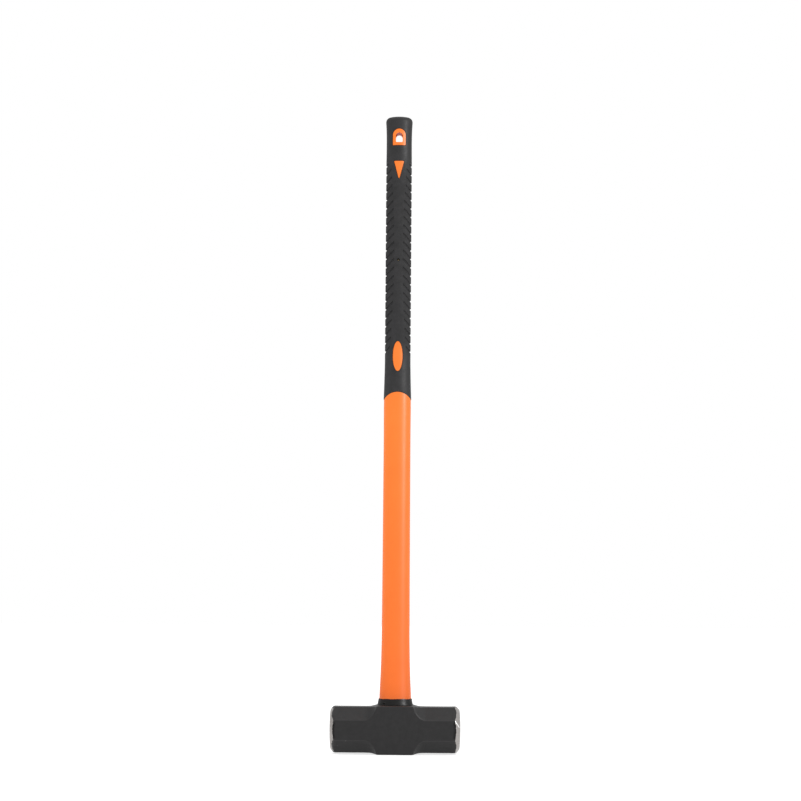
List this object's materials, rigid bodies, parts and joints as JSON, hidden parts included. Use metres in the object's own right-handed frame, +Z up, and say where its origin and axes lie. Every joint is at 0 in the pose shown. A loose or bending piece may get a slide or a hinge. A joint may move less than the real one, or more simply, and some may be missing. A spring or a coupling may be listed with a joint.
{
  "type": "sledgehammer",
  "caption": "Long-handled double-face sledgehammer: octagonal steel head with a square cheek block, plastic-jacketed fibreglass handle, chevron-tread rubber grip with a hang hole.",
  "frame": {"origin": "middle of the crown of the head, at the lowest point of the standing hammer", "axes": "+Z up the handle, X along the striking direction from face to face, Y across the flat of the handle"},
  "size_m": [0.184, 0.064, 0.9],
  "materials": {
    "painted_head": "satin",
    "pultruded_fibreglass": "satin",
    "orange_plastic": "satin",
    "black_grip_rubber": "matte",
    "black_collar_rubber": "satin",
    "cast_epoxy": "satin",
    "dam_rubber": "matte"
  },
  "bodies": {
    "root": {"head": "painted_head", "fibreglass_core": "pultruded_fibreglass", "handle_jacket": "orange_plastic", "rubber_grip": "black_grip_rubber", "neck_collar": "black_collar_rubber", "eye_resin": "cast_epoxy", "resin_dam": "dam_rubber"}
  },
  "joints": []
}
